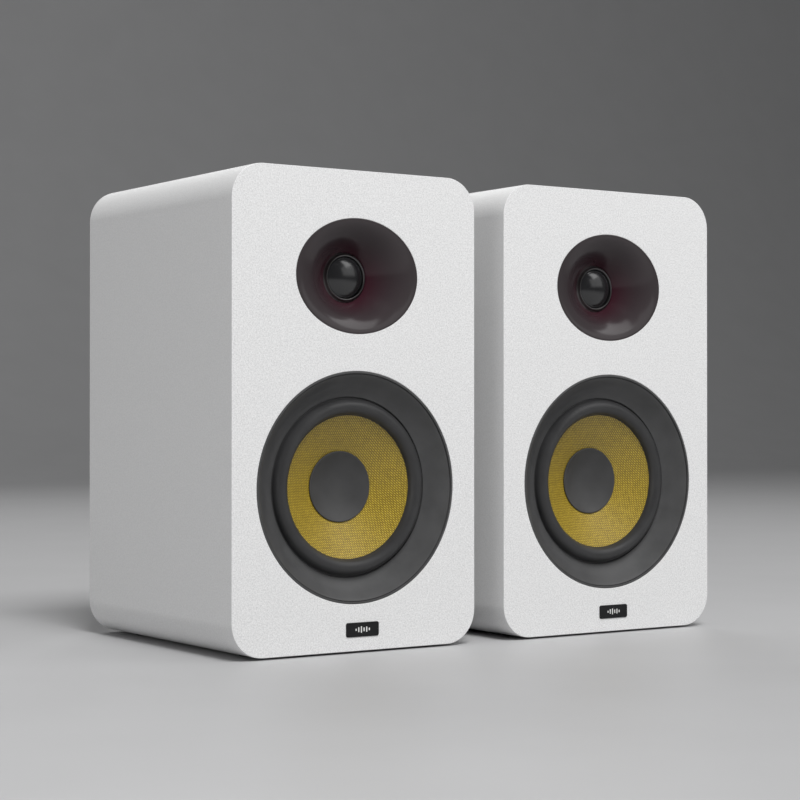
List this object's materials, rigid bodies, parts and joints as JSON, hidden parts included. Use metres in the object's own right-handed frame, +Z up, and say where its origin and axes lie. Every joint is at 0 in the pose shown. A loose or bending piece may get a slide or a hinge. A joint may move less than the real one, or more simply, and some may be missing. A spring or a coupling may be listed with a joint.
{
  "type": "desktop speakers",
  "caption": "Pair of two-way desktop loudspeakers with dished woofer rings, woven cones, oval tweeter waveguides and rear controls.",
  "frame": {"origin": "on the desk midway between the two speakers, at the middle of the pair's depth", "axes": "+X towards the right-hand speaker, +Y towards the back, +Z up; the fronts face -Y"},
  "size_m": [0.4096, 0.231, 0.3215],
  "materials": {
    "cabinet_side": "matt white vinyl wrap over MDF",
    "baffle_front": "matt white finely stippled paint over MDF",
    "back_panel": "black textured paint over MDF",
    "foot_rubber": "soft matt rubber",
    "wadding": "fluffy polyester wadding",
    "port_plastic": "satin moulded plastic",
    "badge_black": "plain black, satin",
    "trim_plastic": "satin dark grey, dished ring",
    "stamped_steel": "black powder coat",
    "surround_rubber": "smooth butyl rubber half roll",
    "woven_cone": "golden woven aramid in clear resin",
    "cap_plastic": "satin dark grey, dished",
    "coil_copper": "copper winding on an aluminium former",
    "spider_cloth": "corrugated resin-dipped cloth",
    "zinc_steel": "zinc plated",
    "ferrite": "ground ferrite",
    "waveguide_gloss": "glossy maroon-brown moulding",
    "bezel_metal": "dark polished ring",
    "dome_gloss": "glossy black dome",
    "motor_steel": "plated steel cup",
    "screw_black": "black oxide",
    "gilt_brass": "gold plated",
    "nut_red": "red moulded grip",
    "nut_black": "black moulded grip",
    "amp_panel": "black powder-coated steel",
    "circuit_board": "green solder mask",
    "knob_plastic": "ribbed satin plastic",
    "rocker_plastic": "black moulded",
    "inlet_plastic": "black moulded, with plated pins",
    "terminal_plastic": "moulded plate",
    "crossover_fibre": "brown fibre board with its parts"
  },
  "bodies": {
    "left_speaker": {"left_cabinet": "cabinet_side", "left_baffle": "baffle_front", "left_back_board": "back_panel", "left_feet": "foot_rubber", "left_damping_pad": "wadding", "left_port_tube": "port_plastic", "left_badge": "badge_black", "left_trim_ring": "trim_plastic", "left_woofer_basket": "stamped_steel", "left_woofer_surround": "surround_rubber", "left_woofer_spider": "spider_cloth", "left_woofer_top_plate": "zinc_steel", "left_woofer_magnet": "ferrite", "left_woofer_yoke": "zinc_steel", "left_waveguide": "waveguide_gloss", "left_tweeter_bezel": "bezel_metal", "left_tweeter_motor": "motor_steel", "left_screws": "screw_black", "left_terminal_posts": "gilt_brass", "amp_plate": "amp_panel", "amp_board": "circuit_board", "mains_inlet": "inlet_plastic", "line_jacks": "gilt_brass"},
    "right_speaker": {"right_cabinet": "cabinet_side", "right_baffle": "baffle_front", "right_back_board": "back_panel", "right_feet": "foot_rubber", "right_damping_pad": "wadding", "right_port_tube": "port_plastic", "right_badge": "badge_black", "right_trim_ring": "trim_plastic", "right_woofer_basket": "stamped_steel", "right_woofer_surround": "surround_rubber", "right_woofer_spider": "spider_cloth", "right_woofer_top_plate": "zinc_steel", "right_woofer_magnet": "ferrite", "right_woofer_yoke": "zinc_steel", "right_waveguide": "waveguide_gloss", "right_tweeter_bezel": "bezel_metal", "right_tweeter_motor": "motor_steel", "right_screws": "screw_black", "right_terminal_posts": "gilt_brass", "terminal_plate": "terminal_plastic", "crossover_board": "crossover_fibre"},
    "left_woofer_moving": {"left_woofer_cone": "woven_cone", "left_dust_cap": "cap_plastic", "left_voice_coil": "coil_copper"},
    "right_woofer_moving": {"right_woofer_cone": "woven_cone", "right_dust_cap": "cap_plastic", "right_voice_coil": "coil_copper"},
    "left_tweeter_moving": {"left_tweeter_dome": "dome_gloss"},
    "right_tweeter_moving": {"right_tweeter_dome": "dome_gloss"},
    "left_nut_red": {"left_terminal_nut_red": "nut_red"},
    "left_nut_black": {"left_terminal_nut_black": "nut_black"},
    "right_nut_red": {"right_terminal_nut_red": "nut_red"},
    "right_nut_black": {"right_terminal_nut_black": "nut_black"},
    "volume": {"volume_knob": "knob_plastic"},
    "bass": {"bass_knob": "knob_plastic"},
    "treble": {"treble_knob": "knob_plastic"},
    "rocker": {"power_rocker": "rocker_plastic"}
  },
  "joints": [
    {"name": "right_speaker_place", "type": "slide", "parent": "left_speaker", "child": "right_speaker", "axis": [1, 0, 0], "range_m": [0, 0.5]},
    {"name": "left_woofer_travel", "type": "slide", "parent": "left_speaker", "child": "left_woofer_moving", "axis": [0, 1, 0], "range_m": [-0.004, 0.004], "stiffness_N_per_m": 1000, "deforming": ["left_woofer_surround", "left_woofer_spider"]},
    {"name": "left_tweeter_travel", "type": "slide", "parent": "left_speaker", "child": "left_tweeter_moving", "axis": [0, 1, 0], "range_m": [-0.0003, 0.0003], "stiffness_N_per_m": 200},
    {"name": "right_woofer_travel", "type": "slide", "parent": "right_speaker", "child": "right_woofer_moving", "axis": [0, 1, 0], "range_m": [-0.004, 0.004], "stiffness_N_per_m": 1000, "deforming": ["right_woofer_surround", "right_woofer_spider"]},
    {"name": "right_tweeter_travel", "type": "slide", "parent": "right_speaker", "child": "right_tweeter_moving", "axis": [0, 1, 0], "range_m": [-0.0003, 0.0003], "stiffness_N_per_m": 200},
    {"name": "volume_turn", "type": "hinge", "parent": "left_speaker", "child": "volume", "pos_m": [-0.10875, 0.10505, 0.1855], "axis": [0, 1, 0], "range_deg": [-150, 150]},
    {"name": "bass_turn", "type": "hinge", "parent": "left_speaker", "child": "bass", "pos_m": [-0.07475, 0.10505, 0.1855], "axis": [0, 1, 0], "range_deg": [-150, 150]},
    {"name": "treble_turn", "type": "hinge", "parent": "left_speaker", "child": "treble", "pos_m": [-0.14275, 0.10505, 0.1855], "axis": [0, 1, 0], "range_deg": [-150, 150]},
    {"name": "power_tip", "type": "hinge", "parent": "left_speaker", "child": "rocker", "pos_m": [-0.07475, 0.09555, 0.0615], "axis": [1, 0, 0], "range_deg": [0, 20]},
    {"name": "left_nut_red_turn", "type": "hinge", "parent": "left_speaker", "child": "left_nut_red", "pos_m": [-0.08428, 0.10505, 0.1295], "axis": [0, 1, 0], "continuous": true},
    {"name": "left_nut_black_turn", "type": "hinge", "parent": "left_speaker", "child": "left_nut_black", "pos_m": [-0.06523, 0.10505, 0.1295], "axis": [0, 1, 0], "continuous": true},
    {"name": "right_nut_red_turn", "type": "hinge", "parent": "right_speaker", "child": "right_nut_red", "pos_m": [0.09922, 0.10655, 0.1095], "axis": [0, 1, 0], "continuous": true},
    {"name": "right_nut_black_turn", "type": "hinge", "parent": "right_speaker", "child": "right_nut_black", "pos_m": [0.11828, 0.10655, 0.1095], "axis": [0, 1, 0], "continuous": true}
  ]
}
